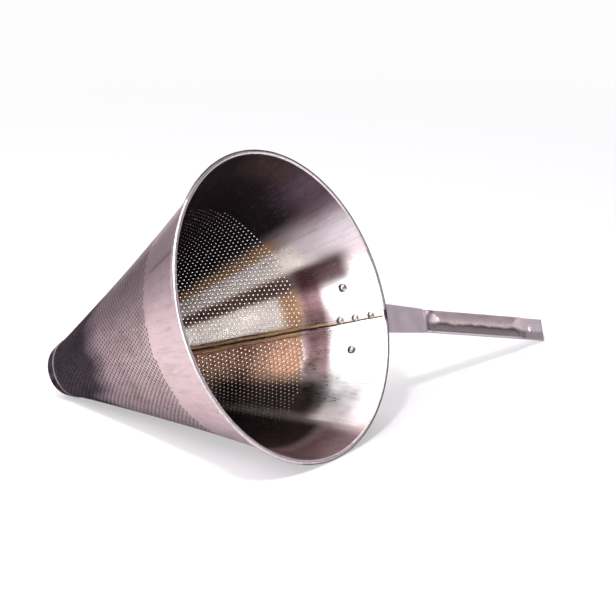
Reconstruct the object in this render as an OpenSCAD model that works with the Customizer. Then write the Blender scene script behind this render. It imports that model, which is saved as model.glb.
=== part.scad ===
// Old conical kitchen strainer of tinned sheet metal, lying on its side.
// It rests on three points: the rolled rim, the cap on the tip and the end of
// the handle. Units are millimetres, +Z is up and the floor is the plane z = 0.

/* [Cone] */
// Radius of the outside of the wall at the mouth
mouth_r = 119; // [100:1:140]
// Depth of the cone along its axis, from the mouth to the small end
depth = 240; // [200:1:270]
// Radius of the outside of the wall at the small end
tip_r = 20.5; // [16:0.5:26]
// How far the wall is drawn in, halfway down, from a straight cone
flare = 2.2; // [0:0.1:8]
// Thickness of the sheet
sheet_t = 0.6; // [0.5:0.05:1]
// Width of the lap where the sheet overlaps itself along the seam
lap_w = 7; // [5:0.5:10]

/* [Perforation] */
// Radius of the cone where the perforated part begins
perf_r = 90; // [70:1:100]
// Distance from one hole to the next round each ring
hole_pitch = 8; // [7:0.5:16]
// Side of one square-cut hole
hole_w = 1.6; // [1.2:0.1:2.4]

/* [Rim] */
// Diameter of the wire that the edge of the sheet is rolled over
wire_d = 2.4; // [2:0.1:4]
// Gap between the wire and the roll
wire_gap = 0.05; // [0.05:0.05:0.2]

/* [Tip cap] */
// Thickness of the cap
cap_t = 0.8; // [0.6:0.1:1.2]
// Length of the skirt of the cap up the cone
cap_skirt = 9; // [5:0.5:14]
// Radius of the rounded corner of the cap
cap_round = 6; // [3:0.5:8]

/* [Handle] */
// Distance from the axis of the cone to the end of the handle
handle_reach = 367; // [340:1:400]
// Depth below the mouth at which the strap leaves the wall
strap_depth = 16; // [14:0.5:18]
// Slope of the handle towards the tip, in degrees
handle_slope = 1; // [0:0.5:3]
// Thickness of the iron strap
strap_t = 2.5; // [2:0.1:3.5]
// Width of the strap beside the rim
strap_w = 23; // [18:0.5:28]
// Width of the hollow grip
grip_w = 18.6; // [16:0.2:24]
// Depth of the hollow grip from its flat back to its rounded front
grip_d = 8.4; // [7:0.2:12]
// Length of the hollow grip
grip_len = 174; // [140:1:190]
// Thickness of the sheet of the grip
grip_t = 0.8; // [0.6:0.1:1.2]
// Radius of the hanging hole
hang_r = 3; // [2:0.1:4]
// Distance from the hanging hole to the end of the handle
hang_inset = 19.5; // [14:0.5:21]
// Length of the flattened end that the hanging hole goes through
flat_len = 25; // [25:1:34]

/* [Saddle plate and rivets] */
// Thickness of the saddle plate
plate_t = 1.5; // [1:0.1:2.5]
// Diameter of the rivet shanks
shank_d = 3.4; // [3:0.1:4]
// Diameter of the heads of the three rivets along the seam
head_d = 6; // [5:0.2:7]
// Diameter of the heads of the two rivets at the ends of the plate
side_head_d = 7.4; // [6:0.2:8.4]
// Angle from the middle of the plate to each end rivet, in degrees
side_rivet_turn = 13.6; // [11:0.2:15]
// Depths below the mouth of the three rivets along the seam
seam_rivet_h = [10, 21.9, 33.4];
// Depth below the mouth of the two end rivets
side_rivet_h = 26.3; // [24:0.1:30]

/* [Hidden] */
BANDS = 12;                      // conical bands that make up the flared wall
EPS = 0.01;
tin = "#b9abae";
dark_tin = "#4b4348";
iron = "#a89ba3";
worn = "#8f8084";

// radius of the outside of the wall at depth h below the mouth
function wall_r(h) = let (u = h / depth)
    mouth_r - (mouth_r - tip_r) * u - 4 * flare * u * (1 - u);
// angle between the wall and the axis at depth h
function wall_a(h) = atan((wall_r(h - 1) - wall_r(h + 1)) / 2);
// point [r, z] of the wall at depth h, moved out along the wall's normal by d
function wall_p(h, d) = let (a = wall_a(h))
    [wall_r(h) + d * cos(a), -h - d * sin(a)];
// outline of a layer of the wall between two offsets and two depths
function layer(h1, h2, d1, d2, n = BANDS) = concat(
    [for (i = [0:n]) wall_p(h1 + (h2 - h1) * i / n, d1)],
    [for (i = [n:-1:0]) wall_p(h1 + (h2 - h1) * i / n, d2)]);

// points along an arc round c from angle a1 to angle a2
function arc(c, r, a1, a2, n) = [for (i = [0:n]) let (a = a1 + (a2 - a1) * i / n)
    c + r * [cos(a), sin(a)]];

// roll round the wire: its centre, its bore and its outer radius
a0 = wall_a(0);
bore_r = wire_d / 2 + wire_gap;
roll_r = bore_r + sheet_t;
roll_c = [mouth_r + bore_r * cos(a0), -bore_r * sin(a0)];

// rounded corner of the cap: its centre in a section through the axis
cap_gap = 0.1;
cap_c = wall_p(depth, cap_gap + cap_t - cap_round);

// tilt of the axis at which the roll and the cap both touch the floor
dR = roll_c[0] - cap_c[0];
dz = roll_c[1] - cap_c[1];
tilt = acos((cap_round - roll_r) / sqrt(dR * dR + dz * dz)) - atan2(dz, dR);
// height of the middle of the mouth above the floor
lift = roll_c[0] * cos(tilt) + roll_r - roll_c[1] * sin(tilt);

// handle: the corner of its end that touches the floor, and the turn round the
// axis at which it does
strap_r0 = wall_r(strap_depth) + 1;
handle_len = (handle_reach - strap_r0) / cos(handle_slope);
back = strap_t / 2 + cap_gap + grip_t;
corner_r = handle_reach - back * sin(handle_slope);
corner_z = -strap_depth - handle_len * sin(handle_slope) - back * cos(handle_slope);
corner_x = (lift + corner_z * sin(tilt)) / cos(tilt);
handle_turn = atan2(grip_w / 2, corner_r)
    + acos(corner_x / sqrt(corner_r * corner_r + grip_w * grip_w / 4));
seam_turn = handle_turn - 1.5;

// the origin is under the middle of the box round the whole strainer
x_max = roll_c[1] * cos(tilt) + roll_c[0] * sin(tilt) + roll_r;
x_min = cap_c[1] * cos(tilt) - cap_c[0] * sin(tilt) - cap_round;
y_min = -roll_c[0] - roll_r;
y_max = corner_r * sin(handle_turn) + grip_w / 2 * cos(handle_turn);

// lays the upright cone, mouth at z = 0 and tip down, on the floor
module lay() {
    translate([-(x_max + x_min) / 2, -(y_max + y_min) / 2, lift])
        rotate([0, 90 - tilt, 0]) children();
}

// turns to a place on the wall: x points away from the axis
module at_wall(turn, h) {
    rotate([0, 0, turn]) translate([wall_r(h), 0, -h])
        rotate([0, 90 + wall_a(h), 0]) children();
}

// frame of the handle: x runs out along it, y across it, z to the mouth side
module at_handle() {
    rotate([0, 0, handle_turn]) translate([strap_r0, 0, -strap_depth])
        rotate([0, handle_slope, 0]) children();
}

// all five rivet holes, for the sheet, the plate and the strap
module rivet_holes(d) {
    for (h = seam_rivet_h) at_wall(handle_turn, h)
        translate([0, 0, -8]) cylinder(d = d, h = 20, $fn = 48);
    for (s = [-1, 1]) at_wall(handle_turn + s * side_rivet_turn, side_rivet_h)
        translate([0, 0, -8]) cylinder(d = d, h = 16, $fn = 48);
}

// one ring of holes, cut square through the wall at depth h
module hole_ring(h) {
    r = wall_r(h);
    n = floor(2 * PI * r / hole_pitch);
    a = wall_a(h);
    w = hole_w / 2;
    step = 360 / n;
    turn = 2 * asin(w / r);
    for (i = [0:n - 1]) let (t = seam_turn + (i + 0.5) * step)
        if (abs(t - seam_turn) * PI / 180 * r > lap_w + 3 && (360 - abs(t - seam_turn)) * PI / 180 * r > 3)
            rotate([0, 0, t - turn / 2]) rotate_extrude(angle = turn, $fn = 144)
                polygon([for (c = [[-w, -1.2], [w, -1.2], [w, 0.6], [-w, 0.6]])
                    [r + c[0] * sin(a) + c[1] * cos(a), -h + c[0] * cos(a) - c[1] * sin(a)]]);
}

// one sheet of metal: flared cone, lap seam, edge rolled outward over the wire
module cone_body() {
    color(tin) lay() difference() {
        union() {
            rotate_extrude($fn = 144) difference() {
                union() {
                    polygon(layer(0, depth, -sheet_t, 0));
                    translate(roll_c) circle(r = roll_r, $fn = 48);
                }
                translate(roll_c) circle(r = bore_r, $fn = 48);
            }
            intersection() {
                rotate([0, 0, seam_turn - 1]) rotate_extrude(angle = 30, $fn = 144)
                    polygon(layer(3, depth - 1, -2 * sheet_t, -sheet_t / 2));
                rotate([0, 0, seam_turn]) translate([0, 0, -depth]) cube([mouth_r, lap_w, depth]);
            }
        }
        rivet_holes(shank_d + 0.1);
        for (b = [0:BANDS - 1], q = [0.25, 0.75]) let (h = (b + q) * depth / BANDS)
            if (wall_r(h) < perf_r && h < depth - cap_skirt - 3) hole_ring(h);
    }
}

// wire in the rolled edge, its ends butted beside the seam
module rim_wire() {
    color(worn) lay() rotate([0, 0, seam_turn + 3]) rotate_extrude(angle = 359.4, $fn = 144)
        translate(roll_c) circle(d = wire_d, $fn = 36);
}

// cup-shaped cap pressed over the small end
module tip_cap() {
    a = wall_a(depth);
    skirt = [for (i = [0:4]) depth - cap_skirt + i * cap_skirt / 4];
    color(dark_tin) lay() rotate_extrude($fn = 96) polygon(concat(
        [for (h = skirt) wall_p(h, cap_gap + cap_t)],
        arc(cap_c, cap_round, -a, -90, 12),
        [[0, cap_c[1] - cap_round], [0, cap_c[1] - cap_round + cap_t]],
        arc(cap_c, cap_round - cap_t, -90, -a, 12),
        [for (i = [4:-1:0]) wall_p(skirt[i], cap_gap)]));
}

// plate that spreads the load of the handle over the thin wall
module saddle_plate() {
    w = side_head_d / 2 + 5;
    reach = (wall_r(side_rivet_h) + plate_t) * sin(side_rivet_turn);
    color(iron) lay() difference() {
        intersection() {
            rotate([0, 0, handle_turn - 24]) rotate_extrude(angle = 48, $fn = 144)
                polygon(layer(4.8, 46, cap_gap, cap_gap + plate_t, 6));
            at_wall(handle_turn, side_rivet_h) {
                for (s = [-1, 1]) translate([0, s * reach, -12]) cylinder(r = w, h = 20, $fn = 64);
                translate([-w, -reach, -12]) cube([2 * w, 2 * reach, 20]);
                translate([-21.5, -11, -12]) cube([35, 22, 20]);
                translate([-17.5, -15, -12]) cube([31, 30, 20]);
                for (s = [-1, 1]) translate([-17.5, s * 11, -12]) cylinder(r = 4, h = 20, $fn = 48);
                translate([8, 0, -12]) cylinder(r = 11.5, h = 20, $fn = 64);
            }
        }
        rivet_holes(shank_d + 0.1);
    }
}

// side view of the strap in its own frame: the foot down the plate, the bend
// and the long flat bar
foot_h = 27;                     // depth at which the foot lies along the wall
foot_gap = 0.15;
foot_a = wall_a(foot_h) - handle_slope;
foot_len = 26;
bend_r = 2;
// point [x, z] in the frame of the handle of a point [r, z] of a wall section
function to_handle(p) = let (q = p - [strap_r0, -strap_depth])
    [q[0] * cos(handle_slope) - q[1] * sin(handle_slope),
     q[0] * sin(handle_slope) + q[1] * cos(handle_slope)];
foot_p = to_handle(wall_p(foot_h, cap_gap + plate_t + foot_gap));
bend_z = -strap_t / 2 - bend_r;
bend_c = [(bend_r + strap_t + foot_p[0] * cos(foot_a) - (foot_p[1] - bend_z) * sin(foot_a)) / cos(foot_a), bend_z];
foot_d = [-sin(foot_a), -cos(foot_a)];
function strap_side(len) = concat(
    [[len, strap_t / 2]],
    arc(bend_c, bend_r + strap_t, 90, 180 - foot_a, 10),
    [bend_c + (bend_r + strap_t) * [-cos(foot_a), sin(foot_a)] + foot_len * foot_d,
     bend_c + bend_r * [-cos(foot_a), sin(foot_a)] + foot_len * foot_d],
    arc(bend_c, bend_r, 180 - foot_a, 90, 10),
    [[len, -strap_t / 2]]);

// iron strap: foot riveted to the cone, bar, and the tang inside the grip
module handle_strap() {
    gx = handle_len - grip_len;
    tang = grip_w - 2 * grip_t - 0.6;
    len = handle_len - flat_len - 36;
    color(iron) lay() difference() {
        at_handle() intersection() {
            rotate([90, 0, 0]) translate([0, 0, -20]) linear_extrude(40) polygon(strap_side(len));
            translate([0, 0, -40]) linear_extrude(60) polygon([
                [-20, -strap_w / 2], [34, -strap_w / 2], [gx - 2, -grip_w / 2 - 0.6],
                [gx - 1, -tang / 2], [len, -tang / 2], [len, tang / 2], [gx - 1, tang / 2],
                [gx - 2, grip_w / 2 + 0.6], [34, strap_w / 2], [-20, strap_w / 2]]);
        }
        rivet_holes(shank_d + 0.1);
    }
}

// section of the grip: flat back, rounded front; t is the inset from outside
module grip_section(t) {
    front = grip_d - back;
    R = grip_w * 0.59;
    intersection() {
        translate([0, front - R]) circle(r = R - t, $fn = 96);
        translate([-grip_w / 2 + t, -back + t]) square([grip_w - 2 * t, 40]);
    }
}

// smooth step from [x1, z1] to [x2, z2] in a side view
function ramp(x1, z1, x2, z2, n = 8) = [for (i = [0:n])
    [x1 + (x2 - x1) * i / n, z1 + (z2 - z1) * (1 - cos(180 * i / n)) / 2]];

// extrudes an [x, z] outline across the handle
module side_prism(points) {
    rotate([90, 0, 0]) translate([0, 0, -20]) linear_extrude(40) polygon(points);
}

// hollow grip folded from sheet round the tang: the front swells up off the
// strap, runs along the grip and is pressed flat at the end for the hanging hole
module grip_shell() {
    x0 = handle_len - grip_len;
    x1 = handle_len - flat_len;
    front = grip_d - back;
    press = -back + 2 * grip_t + 0.4;
    color(worn) lay() at_handle() difference() {
        intersection() {
            rotate([90, 0, 90]) translate([0, 0, x0]) linear_extrude(grip_len) grip_section(0);
            side_prism(concat([[x0, -10]], ramp(x0, back, x0 + 14, front),
                ramp(x1 - 34, front, x1, press), [[handle_len + 1, press], [handle_len + 1, -10]]));
        }
        intersection() {
            rotate([90, 0, 90]) translate([0, 0, x0 - 1]) linear_extrude(grip_len) grip_section(grip_t);
            side_prism(concat([[x0 - 1, -10], [x0 - 1, back - grip_t]],
                ramp(x0 + 0.6, back - grip_t, x0 + 14.6, front - grip_t),
                ramp(x1 - 35, front - grip_t, x1 - 1, -back), [[x1 - 1, -10]]));
        }
        translate([handle_len - hang_inset, 0, -10]) cylinder(r = hang_r, h = 20, $fn = 48);
    }
}

// rivet set at a place on the wall: z = 0 is the outside of the sheet, z points
// out; a is how far the layers reach inward and b how far outward
module rivet(a, b, d) {
    hh = d * 0.28;
    R = (d * d / 4 + hh * hh) / (2 * hh);
    rotate_extrude($fn = 64) {
        translate([0, -a - 0.2]) square([shank_d / 2, a + b + 0.4]);
        intersection() {
            translate([0, -a - hh + R]) circle(r = R, $fn = 96);
            translate([0, -a - hh - 1]) square([d / 2, hh + 1]);
        }
        intersection() {
            translate([0, b + hh - R]) circle(r = R, $fn = 96);
            translate([0, b]) square([d / 2, hh + 1]);
        }
    }
}

rivet_in = 2 * sheet_t + 0.1;
plate_out = cap_gap + plate_t + 0.1;
foot_out = cap_gap + plate_t + foot_gap + strap_t + 0.06;

module seam_rivet_top() {
    color(worn) lay() at_wall(handle_turn, seam_rivet_h[0]) rivet(rivet_in, plate_out, head_d);
}
module seam_rivet_middle() {
    color(worn) lay() at_wall(handle_turn, seam_rivet_h[1]) rivet(rivet_in, foot_out, head_d);
}
module seam_rivet_bottom() {
    color(worn) lay() at_wall(handle_turn, seam_rivet_h[2]) rivet(rivet_in, foot_out, head_d);
}
module plate_rivet_upper() {
    color(worn) lay() at_wall(handle_turn + side_rivet_turn, side_rivet_h) rivet(sheet_t + 0.1, plate_out, side_head_d);
}
module plate_rivet_lower() {
    color(worn) lay() at_wall(handle_turn - side_rivet_turn, side_rivet_h) rivet(sheet_t + 0.1, plate_out, side_head_d);
}

cone_body();
rim_wire();
tip_cap();
saddle_plate();
handle_strap();
grip_shell();
seam_rivet_top();
seam_rivet_middle();
seam_rivet_bottom();
plate_rivet_upper();
plate_rivet_lower();
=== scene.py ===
import math

import bpy
import numpy as np
from mathutils import Matrix, Vector

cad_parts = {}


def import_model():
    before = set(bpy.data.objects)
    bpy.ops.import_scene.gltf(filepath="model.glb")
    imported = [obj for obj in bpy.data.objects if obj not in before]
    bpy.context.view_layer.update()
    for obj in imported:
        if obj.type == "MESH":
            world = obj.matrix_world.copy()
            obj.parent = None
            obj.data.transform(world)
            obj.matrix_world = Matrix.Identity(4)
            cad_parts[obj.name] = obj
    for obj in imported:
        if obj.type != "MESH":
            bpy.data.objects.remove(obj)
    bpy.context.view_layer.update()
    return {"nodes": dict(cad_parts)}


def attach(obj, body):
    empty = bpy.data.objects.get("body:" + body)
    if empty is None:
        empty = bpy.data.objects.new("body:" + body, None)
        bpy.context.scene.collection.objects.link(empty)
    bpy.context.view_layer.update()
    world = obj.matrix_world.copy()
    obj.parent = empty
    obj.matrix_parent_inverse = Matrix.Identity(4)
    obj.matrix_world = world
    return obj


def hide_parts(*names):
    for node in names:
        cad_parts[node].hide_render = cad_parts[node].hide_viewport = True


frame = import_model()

scene = bpy.context.scene
COL = scene.collection


# ---------------------------------------------------------------- camera
# focal length 2400 px on the 616 px frame, principal point (295, 280)
cam_d = bpy.data.cameras.new("camera")
cam = bpy.data.objects.new("camera", cam_d)
COL.objects.link(cam)
cam_d.sensor_width = 36.0
cam_d.lens = 2400.0 / 616.0 * 36.0
cam_d.shift_x = 13.0 / 616.0
cam_d.shift_y = -28.0 / 616.0
cam_d.clip_start = 0.05
cam_d.clip_end = 60.0
RIGHT = Vector((0.810522, 0.585704, -0.002252))
UP = Vector((-0.159131, 0.223910, 0.961531))
FWD = Vector((-0.563676, 0.778984, -0.274688))
m = Matrix.Identity(4)
for i in range(3):
    m[i][0], m[i][1], m[i][2] = RIGHT[i], UP[i], -FWD[i]
m[0][3], m[1][3], m[2][3] = 1.115867, -1.519865, 0.629219
cam.matrix_world = m
scene.camera = cam
scene.view_settings.view_transform = "Standard"
scene.view_settings.look = "None"
scene.view_settings.exposure = 0.0
scene.view_settings.gamma = 1.0


# ---------------------------------------------------------------- the part's own measures, as in part.scad, in mm and degrees
MOUTH_R, DEPTH, TIP_R, FLARE, SHEET = 119.0, 240.0, 20.5, 2.2, 0.6
TILT, SEAM, TURN = 22.799, 72.044, 73.544
SHIFT = np.array([91.8806, -116.2875, 112.8022])
CT, ST = math.cos(math.radians(TILT)), math.sin(math.radians(TILT))
E1, E2, AX = np.array([ST, 0, -CT]), np.array([0, 1.0, 0]), np.array([CT, 0, ST])


def wall_r(h):
    u = np.asarray(h, float) / DEPTH
    return MOUTH_R - (MOUTH_R - TIP_R) * u - 4 * FLARE * u * (1 - u)


def wall_a(h):
    return np.arctan((wall_r(np.asarray(h) - 1) - wall_r(np.asarray(h) + 1)) / 2)


def world(r, phi, z):
    p = np.radians(phi)
    return (r * np.cos(p))[:, None] * E1 + (r * np.sin(p))[:, None] * E2 + np.asarray(z)[:, None] * AX + SHIFT


def smooth(x, a, b):
    t = np.clip((x - a) / (b - a), 0, 1)
    return t * t * (3 - 2 * t)


def win(x, a, b, s):
    return smooth(x, a - s, a + s) * (1 - smooth(x, b - s, b + s))


def wrap(phi, lo):
    return (phi - lo) % 360.0 + lo


def dent(phi, h):
    """How far the sheet is pushed in, in mm: an old sheet is never quite round. None where other pieces bear on it."""
    p = np.radians(phi)
    d = 0.22 * (0.5 + 0.5 * np.sin(3 * p + 0.031 * h + 0.7)) + 0.10 * (0.5 + 0.5 * np.sin(7 * p - 0.047 * h + 2.0)) + 0.05 * (0.5 + 0.5 * np.sin(13 * p + 0.09 * h))
    keep = 1 - win(wrap(phi, -107), 40, 108, 10) * (1 - smooth(h, 46, 66))
    return d * keep * smooth(h, 3, 26) * (1 - smooth(h, 205, 228))


def wall(phi, h, off):
    d = off - dent(phi, h)
    a = wall_a(h)
    return world(wall_r(h) + d * np.cos(a), phi, -np.asarray(h) - d * np.sin(a))


def make(name, V, F, colors=None, wear=None, phi=None, h=None, angle=35, node=None, slot=None, grit=None):
    """A mesh piece from points in mm."""
    me = bpy.data.meshes.new(name)
    me.from_pydata((V * 0.001).tolist(), [], F.tolist() if isinstance(F, np.ndarray) else F)
    me.update()
    if colors is not None:
        a = me.attributes.new("tin", "FLOAT_COLOR", "POINT")
        a.data.foreach_set("color", np.column_stack([colors, np.ones(len(colors))]).astype(np.float32).ravel())
    for key, val in (("wear", wear), ("phi", phi), ("h", h), ("grit", grit)):
        if val is not None:
            a = me.attributes.new(key, "FLOAT", "POINT")
            a.data.foreach_set("value", np.asarray(val, np.float32).ravel())
    me.polygons.foreach_set("use_smooth", [True] * len(me.polygons))
    me.set_sharp_from_angle(angle=math.radians(angle))
    ob = bpy.data.objects.new(name, me)
    COL.objects.link(ob)
    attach(ob, "root")
    if node:
        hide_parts(node)
    return ob


# ---------------------------------------------------------------- stains and wear on the sheet, with painted reflections, highlights and shade, by place on the wall
def paint(c, m, rgb):
    return c + (np.array(rgb)[None, :] - c) * m[:, None]


def inside_look(phi, h):
    p = wrap(phi, -100)
    c = np.tile(np.array([0.58, 0.49, 0.50]), (len(p), 1))
    w = np.full(len(p), 0.27)
    holes = smooth(h, 58, 68)
    c = paint(c, holes * win(p, 30, 124, 8), (0.40, 0.25, 0.155))
    c = paint(c, win(h, 42, 61, 5) * win(p, 48, 102, 8), (0.23, 0.142, 0.148))
    # painted reflection: the far lower wall under the mouth painted near white where it mirrors the key light
    c = paint(c, (1 - smooth(h, 36, 46)) * win(p, 24, 94, 7), (0.97, 0.95, 0.96))
    c = paint(c, win(p, 52, 62, 3) * win(h, 9, 21, 5) * 0.5, (0.45, 0.42, 0.45))
    # painted reflection: a near-white band high on the far wall, where it mirrors the near wall
    c = paint(c, win(p, 75.5, 93, 2.5) * smooth(h, 68, 80) * 0.96, (1.0, 0.95, 0.87))
    c = paint(c, win(p, 75, 94, 4) * win(h, 60, 76, 5) * 0.85, (0.52, 0.30, 0.155))
    c = paint(c, win(p, 40, 70, 4) * smooth(h, 62, 72) * 0.85, (0.62, 0.35, 0.23))
    c = paint(c, win(p, 93.5, 101, 2.2) * smooth(h, 54, 66), (0.15, 0.100, 0.085))
    # painted shadow: a near-black smudge above the upper handle rivet
    c = paint(c, win(p, 89.5, 104, 4) * win(h, 16, 60, 8) * 0.94, (0.045, 0.018, 0.022))
    # painted reflections: a white streak and a golden streak beside it, down the wall
    c = paint(c, win(p, 102.5, 115.5, 1.8) * win(h, 40, 175, 12), (1.0, 0.94, 0.87))
    c = paint(c, win(p, 115.5, 122.5, 2.5) * win(h, 58, 150, 10), (0.80, 0.50, 0.27))
    c = paint(c, win(p, 104, 118, 5) * (1 - smooth(h, 40, 56)) * 0.7, (0.62, 0.585, 0.61))
    # mostly painted shade, with some dark tarnish: the upper inside wall painted near black where it mirrors the dark
    # hollow
    c = paint(c, win(p, 121, 205, 7) * 0.985, (0.016, 0.012, 0.015))
    # painted shade: the reflection of the shaded floor under the mouth, low on the wall
    c = paint(c, win(p, 117, 142, 9) * (1 - smooth(h, 14, 46)) * 0.7, (0.15, 0.100, 0.128))
    c = paint(c, win(p, 142, 168, 9) * (1 - smooth(h, 12, 34)) * 0.22, (0.20, 0.12, 0.10))
    c = paint(c, win(p, 205, 226, 8) * 0.6, (0.22, 0.19, 0.20))
    # painted light: the near inside wall painted pale so that its reflection brightens the far wall
    c = paint(c, np.maximum(win(p, 232, 265, 9), win(p, -105, -34, 7)) * (1 - smooth(h, 110, 150)), (0.90, 0.87, 0.86))
    # painted shade: the bottom of the inside wall painted near black, and dark brown nearer the mouth
    c = paint(c, win(p, -26, 22, 6) * smooth(h, 20, 38) * 0.985, (0.010, 0.006, 0.007))
    c = paint(c, win(p, -26, 20, 6) * (1 - smooth(h, 22, 40)) * 0.9, (0.080, 0.040, 0.046))
    # painted highlight: a thin light line low on the wall
    c = paint(c, win(p, 22, 25.5, 1.2) * win(h, 6, 46, 4) * 0.7, (0.95, 0.93, 0.93))
    c = paint(c, smooth(h, 150, 200) * 0.6, (0.10, 0.08, 0.08))
    # painted shade: a further near-black patch low on the wall
    c = paint(c, win(p, 22, 46, 6) * win(h, 44, 130, 9) * 0.93, (0.040, 0.024, 0.024))
    w = w + 0.05 * holes + 0.20 * win(p, 121, 205, 7) + 0.20 * win(p, -26, 22, 7) * smooth(h, 20, 38) + 0.05 * (1 - smooth(h, 36, 46))
    return c, w, 0.05 + 0.80 * holes * (1 - np.maximum(win(p, 76, 92, 3), win(p, 102, 122, 3))) + 0.25 * win(p, -100, 20, 6)


def outside_look(phi, h):
    p = wrap(phi, 72)
    c = np.tile(np.array([0.36, 0.280, 0.290]), (len(p), 1))
    c = paint(c, smooth(h, 58, 74) * 0.75, (0.235, 0.172, 0.186))
    w = np.full(len(p), 0.33)
    # painted reflection of the floor: lighter on the near side of the outside, near the mouth
    c = paint(c, win(p, 260, 300, 14) * (1 - smooth(h, 60, 150)) * 0.6, (0.44, 0.355, 0.355))
    c = paint(c, win(p, 217, 252, 9) * 0.6, (0.27, 0.205, 0.225))
    c = paint(c, win(p, 204, 216, 4) * (1 - smooth(h, 80, 150)) * 0.5, (0.60, 0.54, 0.57))
    c = paint(c, win(p, 233, 235, 0.8) * (1 - smooth(h, 44, 58)) * 0.7, (0.12, 0.095, 0.11))
    c = paint(c, win(p, 310, 400, 14) * 0.35, (0.42, 0.37, 0.43))
    # painted reflection: a light curve just under the rolled edge
    c = paint(c, win(h, 5.5, 9.5, 1.6) * win(p, 212, 250, 6) * 0.5, (0.80, 0.75, 0.77))
    start = 148 + 16 * smooth(p, 288, 312) + 10 * (1 - smooth(p, 150, 220)) + 4 * np.sin(np.radians(p * 5)) + 3 * np.sin(np.radians(p * 13 + 40))
    c = paint(c, smooth(h - start, -9, 12) * 0.80, (0.13, 0.098, 0.122))
    c = paint(c, smooth(h - start, 6, 30) * 0.95, (0.026, 0.020, 0.026))
    w = w + 0.26 * smooth(h - start, -5, 25)
    return c, w, 0.22 + 0.3 * smooth(h, 56, 70) + 0.3 * smooth(h - start, -9, 12)


# ---------------------------------------------------------------- the punched sheet: one hexagon of tin round every hole, cut from the flat pattern
P = 3.9
K = 0.387
hs = np.linspace(0, DEPTH, 481)
arc = np.concatenate([[0], np.cumsum(np.hypot(np.diff(hs), np.diff(wall_r(hs))))])
S_OF_H = 52.2 + arc[-1] - arc
TH0, TH1 = math.radians((SEAM - 285) * K), math.radians((SEAM + 360 - 285) * K)
SMIN, SMAX = 52.2 + 0.3, S_OF_H[0] - 0.4


def h_of_s(s):
    return np.interp(s, S_OF_H[::-1], hs[::-1])


UX, UY = P / (2 * math.sqrt(3)), P / 2
cx, cy = [], []
for i in range(0, int(SMAX / (3 * UX)) + 2):
    j = np.arange(-90, 90)
    cx.append(np.full(len(j), 3 * i))
    cy.append(2 * j + (i & 1))
cx, cy = np.concatenate(cx), np.concatenate(cy)
CORN = [(2, 0), (1, 1), (-1, 1), (-2, 0), (-1, -1), (1, -1)]
X, Y = cx * UX, cy * UY
s0, t0 = np.hypot(X, Y), np.arctan2(Y, X)
over = 2.6 / np.maximum(s0, 1)
near = (s0 > SMIN - 2.6) & (s0 < SMAX + 2.6) & (t0 > TH0 - over) & (t0 < TH1 + over)
cx, cy, X, Y, s0, t0 = cx[near], cy[near], X[near], Y[near], s0[near], t0[near]
kx = np.stack([cx + a for a, b in CORN], 1)
ky = np.stack([cy + b for a, b in CORN], 1)
sc, tc = np.hypot(kx * UX, ky * UY), np.arctan2(ky * UY, kx * UX)
clear_of_edge = ((sc > SMIN) & (sc < SMAX) & (tc > TH0) & (tc < TH1)).all(1)
hc, phc = h_of_s(s0), 285 + np.degrees(t0) / K
seam_gap = np.minimum(t0 - TH0, TH1 - t0) * s0
first = 63.0 - 4.0 * win(wrap(phc, 72), 225, 330, 25)
punched = clear_of_edge & (hc > first) & (hc < 227.5) & (seam_gap > 5.2)
rng = np.random.default_rng(11)
jx, jy = rng.normal(0, 0.07, len(cx)), rng.normal(0, 0.07, len(cx))
rad = 0.64 + rng.normal(0, 0.025, len(cx))
ids = {}
px, py, kind = [], [], []


def corner(a, b):
    k = (int(a), int(b))
    if k not in ids:
        ids[k] = len(px)
        px.append(a * UX)
        py.append(b * UY)
        kind.append(0)
    return ids[k]


tris = {0: [], 1: [], 2: []}
rims = {0: [], 1: [], 2: []}
RING = [(math.cos(math.radians(30 * q)), math.sin(math.radians(30 * q))) for q in range(12)]
for n in range(len(cx)):
    part = 0 if hc[n] < 57 else (1 if hc[n] < 113 else 2)
    q = [corner(kx[n, e], ky[n, e]) for e in range(6)]
    base = len(px)
    if punched[n]:
        for ca, sa in RING:
            px.append(X[n] + jx[n] + rad[n] * ca)
            py.append(Y[n] + jy[n] + rad[n] * sa)
            kind.append(1)
        for e in range(6):
            a, b = q[e], q[(e + 1) % 6]
            r0, r1, r2 = base + 2 * e, base + 2 * e + 1, base + (2 * e + 2) % 12
            tris[part] += [(a, r1, r0), (a, b, r1), (b, r2, r1)]
        rims[part] += [(base + e, base + (e + 1) % 12) for e in range(12)]
    else:
        px.append(X[n])
        py.append(Y[n])
        kind.append(0)
        tris[part] += [(q[e], q[(e + 1) % 6], base) for e in range(6)]
px, py, kind = np.array(px), np.array(py), np.array(kind)
ss, tt = np.clip(np.hypot(px, py), SMIN, SMAX), np.clip(np.arctan2(py, px), TH0, TH1)
fx, fy = ss * np.cos(tt), ss * np.sin(tt)
PH, HH = 285 + np.degrees(tt) / K, h_of_s(ss)
rim_v = kind == 1
OUT = wall(PH, HH, np.where(rim_v, -0.09, 0.0))
INN = wall(PH, HH, np.where(rim_v, -SHEET - 0.16, -SHEET))
co, wo, go = outside_look(PH, HH)
ci, wi, gi = inside_look(PH, HH)
co = np.clip(co * 1.33, 0, 1)
co[rim_v] *= 0.30
ci[rim_v] *= 0.78
NV = len(px)
cone_parts = []
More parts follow.
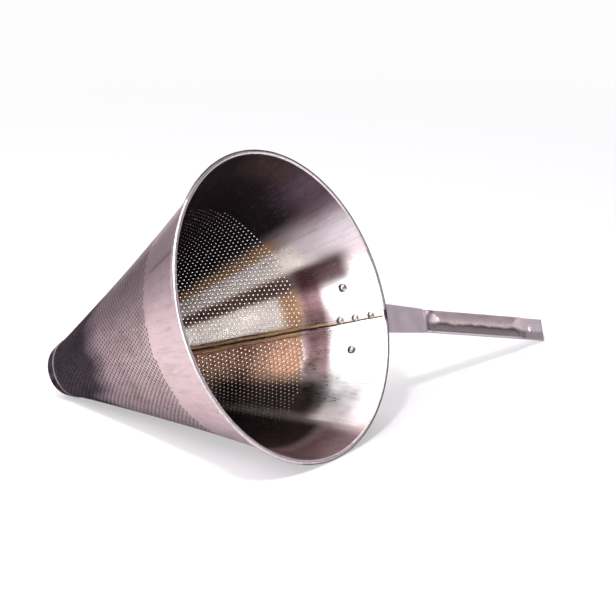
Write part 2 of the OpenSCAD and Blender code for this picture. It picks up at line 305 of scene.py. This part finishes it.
for part, name in ((0, "cone_plain_band"), (1, "cone_punched_wide"), (2, "cone_punched_narrow")):
    T = np.array(tris[part])
    A = (fx[T[:, 1]] - fx[T[:, 0]]) * (fy[T[:, 2]] - fy[T[:, 0]]) - (fx[T[:, 2]] - fx[T[:, 0]]) * (fy[T[:, 1]] - fy[T[:, 0]])
    T = T[np.abs(A) > 0.03]
    o = OUT[T[0]]
    n_out = np.cross(o[1] - o[0], o[2] - o[0])
    mid = o.mean(0) - SHIFT
    radial = mid - AX * mid.dot(AX)
    if n_out.dot(radial) < 0:
        T = T[:, ::-1]
    F = [T, T[:, ::-1] + NV]
    if rims[part]:
        R = np.array(rims[part])
        W = np.vstack([np.column_stack([R[:, 0], R[:, 1], R[:, 1] + NV]), np.column_stack([R[:, 0], R[:, 1] + NV, R[:, 0] + NV])])
        v = np.vstack([OUT, INN])[W[0]]
        c0 = OUT[R[:12].ravel()].mean(0)
        if np.cross(v[1] - v[0], v[2] - v[0]).dot(c0 - v.mean(0)) < 0:
            W = W[:, ::-1]
        F.append(W)
    F = np.vstack(F)
    used, inv = np.unique(F, return_inverse=True)
    V = np.vstack([OUT, INN])[used]
    F = inv.reshape(F.shape)
    ob = make(name, V, F, np.vstack([co, ci])[used], np.concatenate([wo, wi])[used], np.concatenate([PH, PH])[used], np.concatenate([HH, HH])[used], 40, "cone_body", "tin_sheet", np.concatenate([go, gi])[used])
    cone_parts.append(ob)


# ---------------------------------------------------------------- lathe-like strips on the wall
def strip(name, rows, closed_u, closed_v, colors, wear, phi, h, **kw):
    """rows: (nu, nv, 3) points in mm."""
    nu, nv = rows.shape[:2]
    F = []
    for i in range(nu if closed_u else nu - 1):
        i2 = (i + 1) % nu
        for j in range(nv if closed_v else nv - 1):
            j2 = (j + 1) % nv
            F.append((i * nv + j, i * nv + j2, i2 * nv + j2, i2 * nv + j))
    return make(name, rows.reshape(-1, 3), F, colors, wear, phi, h, **kw)


# the rolled edge: the sheet goes once round the wire and its cut edge is tucked against the wall
A0 = float(wall_a(0.0))
RC = np.array([MOUTH_R + 1.25 * math.cos(A0), -1.25 * math.sin(A0)])
NU, NVR = 480, 30
ph = np.linspace(0, 360, NU, endpoint=False)
ang = np.linspace(180, -180, NVR, endpoint=False)
rr = np.full(NVR, 1.84)
rr[(ang < -148) & (ang > -166)] = 1.52
rr[(ang <= -166)] = 1.30
U, Wn = np.meshgrid(ph, np.arange(NVR), indexing="ij")
ripple = 0.05 * (0.5 + 0.5 * np.sin(np.radians(U * 31))) + 0.035 * (0.5 + 0.5 * np.sin(np.radians(U * 53 + 60)))
g = np.radians(ang[Wn])
R1 = rr[Wn] - ripple * (np.cos((g - math.radians(40))) > -0.2)
pts = world((RC[0] + R1 * np.cos(g)).ravel(), U.ravel(), (RC[1] + R1 * np.sin(g)).ravel()).reshape(NU, NVR, 3)
cr = np.tile(np.array([0.60, 0.555, 0.57]), (NU * NVR, 1))
gd = ang[Wn].ravel()
# painted highlight: a lighter band along the inner top of the roll
cr = paint(cr, win(gd, 100, 150, 14), (0.74, 0.70, 0.71))
uu = np.radians(U.ravel())
far = win(wrap(U.ravel(), -100), -20, 216, 16)
# painted shade on the outer flank of the roll, its edge set by where the roll turns from the view, reaching further on
# the far side
edge_of_dark = 40 - 50 * np.cos(uu - math.radians(268)) + 22 * far + 5 * np.sin(3 * uu)
edge_of_dark = np.where(far > 0.5, np.maximum(edge_of_dark, 58), edge_of_dark - 30)
cr = paint(cr, (1 - smooth(gd - edge_of_dark, -12, 10)) * (0.55 + 0.42 * far), (0.022, 0.016, 0.020))
# painted shade: the near side of the roll a little darker
cr = paint(cr, (1 - far) * 0.5, (0.40, 0.34, 0.355))
# painted shade: a dark line on the inner face of the roll, on the far side
cr = paint(cr, far * smooth(gd, 166, 176) * 0.85, (0.05, 0.036, 0.042))
cr = paint(cr, win(gd, -400, -140, 8), (0.03, 0.025, 0.028))
near_seam = win(wrap(U.ravel(), -107), 70.5, 74.8, 0.6)
cr = paint(cr, near_seam * 0.9, (0.02, 0.017, 0.02))
rim = strip("rolled_rim", pts, True, True, cr, np.full(NU * NVR, 0.30), U.ravel(), np.zeros(NU * NVR), angle=50, node="cone_body", slot="tin_sheet", grit=np.full(NU * NVR, 0.3))

# the lap inside the wall, with its solder line along both edges
lap_h = np.linspace(1.2, 236.0, 150)
prof = np.array([(-4.5, -0.55), (-4.0, -0.70), (-3.6, -0.95), (-3.35, -1.22), (-2.4, -1.28), (-0.9, -1.28), (-0.55, -1.18), (-0.1, -0.98), (0.45, -1.00), (0.8, -1.20), (1.4, -1.28), (2.2, -1.29), (3.1, -1.26), (3.4, -1.08), (3.7, -0.78), (4.1, -0.68), (4.6, -0.55)])
# DARK: partly grime, partly painted shade along the lap's cut edge; GOLD: the solder line
DARK = np.array([0, 0.05, 0.1, 0.0, 0, 0.15, 0.9, 1, 1, 0.75, 0.1, 0, 0, 0.05, 0.1, 0.05, 0])
GOLD = np.array([0, 0, 0, 0, 0, 0, 0, 0, 0, 0.3, 1, 0.8, 0.1, 0, 0, 0, 0])
rows, cl, wl, pl, hl, gl = [], [], [], [], [], []
for k, hh in enumerate(lap_h):
    wob = 0.16 * math.sin(hh * 0.13) + 0.10 * math.sin(hh * 0.41 + 1)
    y = prof[:, 0].copy()
    y[:3] -= 0.2 * (0.5 + 0.5 * math.sin(hh * 0.9))
    y[-2:] += 0.2 * (0.5 + 0.5 * math.sin(hh * 0.7 + 2))
    r = float(wall_r(hh))
    p = SEAM + np.degrees((y + wob) / r)
    full = np.full(len(p), hh)
    rows.append(wall(p, full, prof[:, 1]))
    c, w, gg = inside_look(p, full)
    # partly grime, partly painted shade along the cut edge of the lap
    c = paint(c, DARK * 0.97, (0.016, 0.012, 0.012))
    c = paint(c, GOLD * (0.55 + 0.35 * math.sin(hh * 0.21) ** 2), (0.50, 0.31, 0.13))
    cl.append(c)
    wl.append(w)
    pl.append(p)
    hl.append(full)
    gl.append(gg)
lap = strip("seam_lap", np.array(rows), False, False, np.vstack(cl), np.concatenate(wl), np.concatenate(pl), np.concatenate(hl), angle=60, node="cone_body", slot="tin_sheet", grit=np.concatenate(gl))


# ---------------------------------------------------------------- materials
def nodes_of(name):
    mat = bpy.data.materials.new(name)
    mat.use_nodes = True
    nt = mat.node_tree
    nt.nodes.clear()
    out = nt.nodes.new("ShaderNodeOutputMaterial")
    bs = nt.nodes.new("ShaderNodeBsdfPrincipled")
    nt.links.new(bs.outputs[0], out.inputs[0])
    bs.inputs["Metallic"].default_value = 1.0
    return mat, nt, bs


class Net:
    def __init__(self, nt):
        self.nt = nt

    def new(self, kind, **kw):
        n = self.nt.nodes.new(kind)
        for k, v in kw.items():
            setattr(n, k, v)
        return n

    def put(self, a, b):
        if isinstance(a, (int, float)):
            b.default_value = a
        elif isinstance(a, tuple):
            b.default_value = a
        else:
            self.nt.links.new(a, b)

    def math(self, op, a, b=0.0, c=None):
        n = self.new("ShaderNodeMath", operation=op)
        self.put(a, n.inputs[0])
        self.put(b, n.inputs[1])
        if c is not None:
            self.put(c, n.inputs[2])
        return n.outputs[0]

    def dot(self, v, vec, add=0.0, scale=1000.0):
        n = self.new("ShaderNodeVectorMath", operation="DOT_PRODUCT")
        self.put(v, n.inputs[0])
        n.inputs[1].default_value = tuple(float(x) * scale for x in vec)
        return self.math("ADD", n.outputs["Value"], float(add))

    def xyz(self, x, y, z):
        n = self.new("ShaderNodeCombineXYZ")
        self.put(x, n.inputs[0])
        self.put(y, n.inputs[1])
        self.put(z, n.inputs[2])
        return n.outputs[0]

    def noise(self, vec, scale, detail=3.0, rough=0.55):
        n = self.new("ShaderNodeTexNoise")
        self.put(vec, n.inputs["Vector"])
        n.inputs["Scale"].default_value = scale
        n.inputs["Detail"].default_value = detail
        n.inputs["Roughness"].default_value = rough
        return n.outputs["Fac"] if "Fac" in n.outputs else n.outputs[0]

    def ramp(self, x, stops):
        n = self.new("ShaderNodeValToRGB")
        self.put(x, n.inputs[0])
        el = n.color_ramp.elements
        while len(el) < len(stops):
            el.new(0.5)
        for e, (pos, c) in zip(el, stops):
            e.position = pos
            e.color = (c, c, c, 1) if isinstance(c, (int, float)) else (*c, 1)
        return n.outputs[0]

    def map(self, x, a, b, c=0.0, d=1.0):
        n = self.new("ShaderNodeMapRange")
        self.put(x, n.inputs[0])
        for i, v in enumerate((a, b, c, d)):
            n.inputs[i + 1].default_value = v
        return n.outputs[0]

    def mix(self, f, a, b, mode="MIX"):
        n = self.new("ShaderNodeMix", data_type="RGBA", blend_type=mode)
        self.put(f, n.inputs[0])
        self.put(a if not isinstance(a, tuple) else (*a, 1.0), n.inputs[6])
        self.put(b if not isinstance(b, tuple) else (*b, 1.0), n.inputs[7])
        return n.outputs[2]

    def bump(self, height, strength, dist, normal=None):
        n = self.new("ShaderNodeBump")
        n.inputs["Strength"].default_value = strength
        n.inputs["Distance"].default_value = dist
        self.put(height, n.inputs["Height"])
        if normal is not None:
            self.put(normal, n.inputs["Normal"])
        return n.outputs[0]


def sheet_material():
    """Old tin plate: stains, painted reflections and painted shade by place, streaks along the wall, speckle, scratches
    and grime.
    """
    mat, nt, bs = nodes_of("old_tin_plate")
    bs.inputs["Specular Tint"].default_value = (0.72, 0.68, 0.70, 1)
    q = Net(nt)
    col = q.new("ShaderNodeAttribute", attribute_name="tin").outputs["Color"]
    wear = q.new("ShaderNodeAttribute", attribute_name="wear").outputs["Fac"]
    phi = q.new("ShaderNodeAttribute", attribute_name="phi").outputs["Fac"]
    h = q.new("ShaderNodeAttribute", attribute_name="h").outputs["Fac"]
    grit = q.new("ShaderNodeAttribute", attribute_name="grit").outputs["Fac"]
    obj = q.new("ShaderNodeTexCoord").outputs["Object"]
    rad_ = q.math("MULTIPLY", phi, math.pi / 180)
    cs, sn = q.math("COSINE", rad_), q.math("SINE", rad_)
    streak_v = q.xyz(q.math("MULTIPLY", cs, 9.0), q.math("MULTIPLY", sn, 9.0), q.math("MULTIPLY", h, 0.012))
    streak = q.noise(streak_v, 3.0, 5.0, 0.6)
    scratch_v = q.xyz(q.math("MULTIPLY", cs, 60.0), q.math("MULTIPLY", sn, 60.0), q.math("MULTIPLY", h, 0.05))
    scratch = q.noise(scratch_v, 4.0, 2.0, 0.5)
    ring_v = q.xyz(cs, sn, q.math("MULTIPLY", h, 1.6))
    rings = q.noise(ring_v, 2.0, 3.0, 0.6)
    blotch = q.noise(obj, 38.0, 6.0, 0.62)
    speck = q.noise(obj, 620.0, 3.0, 0.6)
    grain = q.noise(obj, 2400.0, 2.0, 0.5)
    c = q.mix(1.0, col, q.ramp(streak, [(0.30, 0.78), (0.50, 1.0), (0.72, 1.05)]), "MULTIPLY")
    c = q.mix(q.math("MULTIPLY", q.ramp(blotch, [(0.50, 0.0), (0.70, 0.75)]), grit), c, q.mix(1.0, c, (0.62, 0.47, 0.36), "MULTIPLY"))
    c = q.mix(q.math("MULTIPLY", q.ramp(speck, [(0.54, 0.0), (0.68, 1.0)]), grit), c, q.mix(1.0, c, (0.36, 0.29, 0.26), "MULTIPLY"))
    c = q.mix(q.ramp(scratch, [(0.66, 0.0), (0.76, 0.35)]), c, q.mix(0.5, c, (0.85, 0.82, 0.82)))
    nt.links.new(c, bs.inputs["Base Color"])
    r = q.math("ADD", wear, q.map(blotch, 0.35, 0.70, -0.05, 0.13))
    r = q.math("ADD", r, q.map(scratch, 0.40, 0.75, 0.03, -0.07))
    r = q.math("ADD", r, q.math("MULTIPLY", q.map(speck, 0.45, 0.75, 0.0, 0.22), grit))
    nt.links.new(r, bs.inputs["Roughness"])
    n = q.bump(streak, 0.14, 0.0003)
    n = q.bump(rings, 0.05, 0.00025, n)
    n = q.bump(q.math("MULTIPLY", blotch, grit), 0.22, 0.0003, n)
    n = q.bump(scratch, 0.05, 0.00004, n)
    n = q.bump(q.math("MULTIPLY", speck, grit), 0.25, 0.00006, n)
    n = q.bump(grain, 0.04, 0.00002, n)
    nt.links.new(n, bs.inputs["Normal"])
    return mat


TIN = sheet_material()
for o in cone_parts + [rim, lap]:
    o.data.materials.append(TIN)

# directions of the handle: along it, up across its width, and out of its front
T1 = math.radians(TURN)
ER = math.cos(T1) * E1 + math.sin(T1) * E2
ET = -math.sin(T1) * E1 + math.cos(T1) * E2
SL = math.radians(1.0)
HX = ER * math.cos(SL) - AX * math.sin(SL)
HZ = ER * math.sin(SL) + AX * math.cos(SL)
STRAP_R0 = float(wall_r(16.0)) + 1
H0 = (ER * STRAP_R0 - AX * 16.0) + SHIFT
HLEN = (367 - STRAP_R0) / math.cos(SL)


def bar_material(name, base, underside_shade=None, lip=None, tongue_shade=False, rough=0.34, stain=0.5, x_end=None):
    """Tinned iron or tin on the handle: brushed along it, stained, with worn edges; where asked, painted shade on the
    grip's underside, along its domed start and at its end.
    """
    mat, nt, bs = nodes_of(name)
    bs.inputs["Specular Tint"].default_value = (0.55, 0.50, 0.53, 1)
    q = Net(nt)
    obj = q.new("ShaderNodeTexCoord").outputs["Object"]
    x = q.dot(obj, HX, -H0.dot(HX))
    y = q.dot(obj, ET, -H0.dot(ET))
    z = q.dot(obj, HZ, -H0.dot(HZ))
    brush = q.noise(q.xyz(q.math("MULTIPLY", x, 0.02), y, z), 2.2, 4.0, 0.6)
    cross = q.noise(q.xyz(q.math("MULTIPLY", x, 0.9), q.math("MULTIPLY", y, 0.15), z), 1.4, 3.0, 0.6)
    blotch = q.noise(obj, 75.0, 5.0, 0.62)
    speck = q.noise(obj, 700.0, 3.0, 0.6)
    wav = q.math("MULTIPLY", q.math("SUBTRACT", blotch, 0.5), 5.0)
    yy = q.math("ADD", y, wav)
    c = q.mix(q.map(brush, 0.35, 0.7), base, tuple(v * 1.28 for v in base))
    # painted shade: the underside of the grip, which faces the floor, darkened in two steps
    if underside_shade:
        c = q.mix(q.map(yy, -0.6, -3.0), c, underside_shade)
        c = q.mix(q.map(yy, -3.5, -7.5), c, tuple(v * 0.62 for v in underside_shade))
    if lip:
        c = q.mix(q.map(y, -8.25, -8.7), c, lip)
    if tongue_shade:
        # painted shade: a dark edge where the grip's domed start rises off the strap
        d = q.math("SUBTRACT", q.math("ADD", x, q.math("MULTIPLY", q.math("MULTIPLY", y, y), -0.085)), HLEN - 174.0)
        edge = q.math("MULTIPLY", q.map(d, -1.5, 0.4), q.map(d, 6.5, 3.0))
        c = q.mix(q.math("MULTIPLY", edge, 0.85), c, (0.045, 0.036, 0.040))
    if x_end:
        # painted shade: the last two millimetres of the grip darkened, where it meets the floor
        end_shade = q.math("MULTIPLY", q.map(x, x_end - 2.2, x_end - 0.4), 0.8)
        c = q.mix(end_shade, c, (0.05, 0.04, 0.045))
    c = q.mix(q.ramp(blotch, [(0.47, 0.0), (0.66, stain)]), c, q.mix(1.0, c, (0.55, 0.42, 0.34), "MULTIPLY"))
    c = q.mix(q.ramp(speck, [(0.57, 0.0), (0.70, 0.6)]), c, q.mix(1.0, c, (0.40, 0.33, 0.31), "MULTIPLY"))
    pt = q.new("ShaderNodeNewGeometry").outputs["Pointiness"]
    c = q.mix(q.ramp(pt, [(0.52, 0.0), (0.60, 0.55)]), c, (0.80, 0.76, 0.78))
    nt.links.new(c, bs.inputs["Base Color"])
    r = q.math("ADD", q.map(blotch, 0.35, 0.7, rough - 0.05, rough + 0.14), q.map(speck, 0.45, 0.75, 0.0, 0.1))
    nt.links.new(r, bs.inputs["Roughness"])
    n = q.bump(brush, 0.25, 0.0001)
    n = q.bump(cross, 0.25, 0.0003, n)
    n = q.bump(blotch, 0.30, 0.0003, n)
    n = q.bump(speck, 0.20, 0.00005, n)
    nt.links.new(n, bs.inputs["Normal"])
    return mat


STRAP = bar_material("tinned_strap", (0.52, 0.400, 0.470), rough=0.38, stain=0.30)
GRIP = bar_material("worn_and_shaded_grip_tin", (0.86, 0.74, 0.77), underside_shade=(0.075, 0.047, 0.046), lip=(0.46, 0.40, 0.48), tongue_shade=True, rough=0.36, stain=0.40, x_end=HLEN)
PLATE = bar_material("tinned_plate", (0.50, 0.45, 0.48), rough=0.40, stain=0.6)


def cap_material():
    mat, nt, bs = nodes_of("heat_darkened_cap_with_painted_highlight")
    bs.inputs["Specular Tint"].default_value = (0.45, 0.42, 0.46, 1)
    q = Net(nt)
    obj = q.new("ShaderNodeTexCoord").outputs["Object"]
    z = q.dot(obj, AX, -SHIFT.dot(AX))
    blotch = q.noise(obj, 90.0, 6.0, 0.65)
    speck = q.noise(obj, 700.0, 3.0, 0.6)
    c = q.mix(q.ramp(blotch, [(0.35, 0.0), (0.62, 1.0)]), (0.014, 0.011, 0.014), (0.085, 0.068, 0.076))
    c = q.mix(q.ramp(speck, [(0.52, 0.0), (0.68, 0.6)]), c, (0.02, 0.016, 0.018))
    # painted highlight: a light ring round the edge of the cap's skirt, broken by the blotches
    skirt_highlight = q.math("MULTIPLY", q.map(q.math("ADD", z, q.math("MULTIPLY", blotch, 0.8)), -232.0, -231.2), 0.85)
    c = q.mix(skirt_highlight, c, (0.66, 0.60, 0.60))
    pt = q.new("ShaderNodeNewGeometry").outputs["Pointiness"]
    c = q.mix(q.ramp(pt, [(0.55, 0.0), (0.64, 0.3)]), c, (0.30, 0.26, 0.27))
    nt.links.new(c, bs.inputs["Base Color"])
    nt.links.new(q.map(blotch, 0.3, 0.7, 0.50, 0.34), bs.inputs["Roughness"])
    n = q.bump(blotch, 0.4, 0.0005)
    n = q.bump(speck, 0.25, 0.00008, n)
    nt.links.new(n, bs.inputs["Normal"])
    return mat


def rivet_material():
    mat, nt, bs = nodes_of("hammered_rivet")
    q = Net(nt)
    obj = q.new("ShaderNodeTexCoord").outputs["Object"]
    blotch = q.noise(obj, 260.0, 4.0, 0.6)
    speck = q.noise(obj, 900.0, 3.0, 0.6)
    vor = q.new("ShaderNodeTexVoronoi")
    q.put(obj, vor.inputs["Vector"])
    vor.inputs["Scale"].default_value = 420.0
    c = q.mix(q.ramp(blotch, [(0.35, 0.0), (0.62, 1.0)]), (0.20, 0.16, 0.16), (0.70, 0.65, 0.66))
    c = q.mix(q.ramp(speck, [(0.55, 0.0), (0.70, 0.6)]), c, (0.10, 0.07, 0.06))
    nt.links.new(c, bs.inputs["Base Color"])
    nt.links.new(q.map(blotch, 0.3, 0.7, 0.42, 0.26), bs.inputs["Roughness"])
    n = q.bump(vor.outputs["Distance"], 0.35, 0.0003)
    n = q.bump(speck, 0.2, 0.00006, n)
    nt.links.new(n, bs.inputs["Normal"])
    return mat


def wire_material():
    mat, nt, bs = nodes_of("plain_wire")
    q = Net(nt)
    obj = q.new("ShaderNodeTexCoord").outputs["Object"]
    n1 = q.noise(obj, 300.0, 4.0, 0.6)
    nt.links.new(q.mix(n1, (0.30, 0.24, 0.22), (0.55, 0.50, 0.50)), bs.inputs["Base Color"])
    nt.links.new(q.map(n1, 0.3, 0.7, 0.35, 0.5), bs.inputs["Roughness"])
    nt.links.new(q.bump(n1, 0.2, 0.0001), bs.inputs["Normal"])
    return mat


def dress(node, mat):
    ob = frame["nodes"][node]
    if not ob.material_slots:
        ob.data.materials.append(mat)
    for s in ob.material_slots:
        s.material = mat
    return ob


dress("rim_wire", wire_material())
dress("tip_cap", cap_material())
dress("saddle_plate", PLATE)
dress("handle_strap", STRAP)
dress("grip_shell", GRIP)
RIV = rivet_material()
for nme in ("seam_rivet_top", "seam_rivet_middle", "seam_rivet_bottom", "plate_rivet_upper", "plate_rivet_lower"):
    dress(nme, RIV)
for nme, wd in (("handle_strap", 0.00035), ("grip_shell", 0.00022), ("saddle_plate", 0.0003)):
    b = frame["nodes"][nme].modifiers.new("soft_edges", "BEVEL")
    b.width = wd
    b.segments = 2
    b.limit_method = "ANGLE"
    b.angle_limit = math.radians(35)
    b.harden_normals = False


# ---------------------------------------------------------------- floor, light
def floor():
    me = bpy.data.meshes.new("floor")
    me.from_pydata([(-12, -12, 0), (12, -12, 0), (12, 12, 0), (-12, 12, 0)], [], [(0, 1, 2, 3)])
    ob = bpy.data.objects.new("floor", me)
    ob.location.z = -0.0001
    COL.objects.link(ob)
    mat, nt, bs = nodes_of("pale_floor")
    bs.inputs["Metallic"].default_value = 0.0
    q = Net(nt)
    obj = q.new("ShaderNodeTexCoord").outputs["Object"]
    n1 = q.noise(obj, 3.0, 3.0, 0.5)
    nt.links.new(q.mix(n1, (0.71, 0.70, 0.725), (0.73, 0.72, 0.74)), bs.inputs["Base Color"])
    bs.inputs["Roughness"].default_value = 0.9
    bs.inputs["Specular IOR Level"].default_value = 0.1
    em = q.new("ShaderNodeEmission")
    em.inputs[0].default_value = (0.985, 0.98, 0.99, 1)
    ms = q.new("ShaderNodeMixShader")
    ln = q.new("ShaderNodeVectorMath", operation="LENGTH")
    q.put(obj, ln.inputs[0])
    far_ = q.map(ln.outputs["Value"], 0.35, 1.4, 0.45, 1.0)
    q.put(q.math("MULTIPLY", far_, q.new("ShaderNodeLightPath").outputs["Is Camera Ray"]), ms.inputs[0])
    nt.links.new(bs.outputs[0], ms.inputs[1])
    nt.links.new(em.outputs[0], ms.inputs[2])
    nt.links.new(ms.outputs[0], [x for x in nt.nodes if x.type == "OUTPUT_MATERIAL"][0].inputs[0])
    me.materials.append(mat)


floor()


def area(name, loc, to, sx, sy, power, color=(1, 1, 1)):
    li = bpy.data.lights.new(name, "AREA")
    li.shape = "RECTANGLE"
    li.size, li.size_y = sx, sy
    li.energy = power
    li.color = color
    ob = bpy.data.objects.new(name, li)
    COL.objects.link(ob)
    ob.location = loc
    ob.visible_camera = False
    ob.rotation_euler = (Vector(to) - Vector(loc)).to_track_quat("-Z", "Y").to_euler()
    return ob


C0 = (0.05, -0.05, 0.08)
area("key", (-0.42, -1.20, 1.42), C0, 1.2, 1.0, 30, (1.0, 0.98, 0.97))
area("shadow_light", (0.33, -1.15, 1.90), C0, 0.20, 0.20, 34, (1.0, 0.985, 0.98))
area("low_front", (-0.05, -1.9, 0.31), C0, 1.3, 0.6, 30, (1.0, 0.98, 0.99))
area("upper_left", (-0.95, 0.30, 1.76), C0, 1.1, 1.0, 11, (0.99, 0.98, 1.0))
area("top", (0.2, 0.3, 2.4), C0, 2.0, 2.0, 26, (1.0, 0.99, 1.0))
area("right", (2.1, 0.9, 0.9), C0, 0.7, 0.9, 5, (0.99, 0.98, 1.0))

w = bpy.data.worlds.new("studio")
scene.world = w
w.use_nodes = True
wt = w.node_tree
wt.nodes.clear()
wo_ = wt.nodes.new("ShaderNodeOutputWorld")
bg = wt.nodes.new("ShaderNodeBackground")
wt.links.new(bg.outputs[0], wo_.inputs[0])
wq = Net(wt)
dirv = wq.new("ShaderNodeTexCoord").outputs["Generated"]
up = wq.new("ShaderNodeSeparateXYZ")
wt.links.new(dirv, up.inputs[0])
grad = wq.ramp(wq.map(up.outputs[2], -0.2, 1.0), [(0.0, (0.80, 0.78, 0.80)), (0.17, (0.42, 0.38, 0.41)), (0.30, (0.60, 0.57, 0.60)), (0.55, (0.34, 0.32, 0.33)), (1.0, (0.30, 0.29, 0.30))])
lp = wq.new("ShaderNodeLightPath")
wt.links.new(wq.mix(lp.outputs["Is Camera Ray"], wq.mix(1.0, grad, (0.72, 0.70, 0.72), "MULTIPLY"), (0.97, 0.965, 0.975)), bg.inputs[0])
bg.inputs[1].default_value = 1.0

print("holes in the visual cone:", int(punched.sum()))
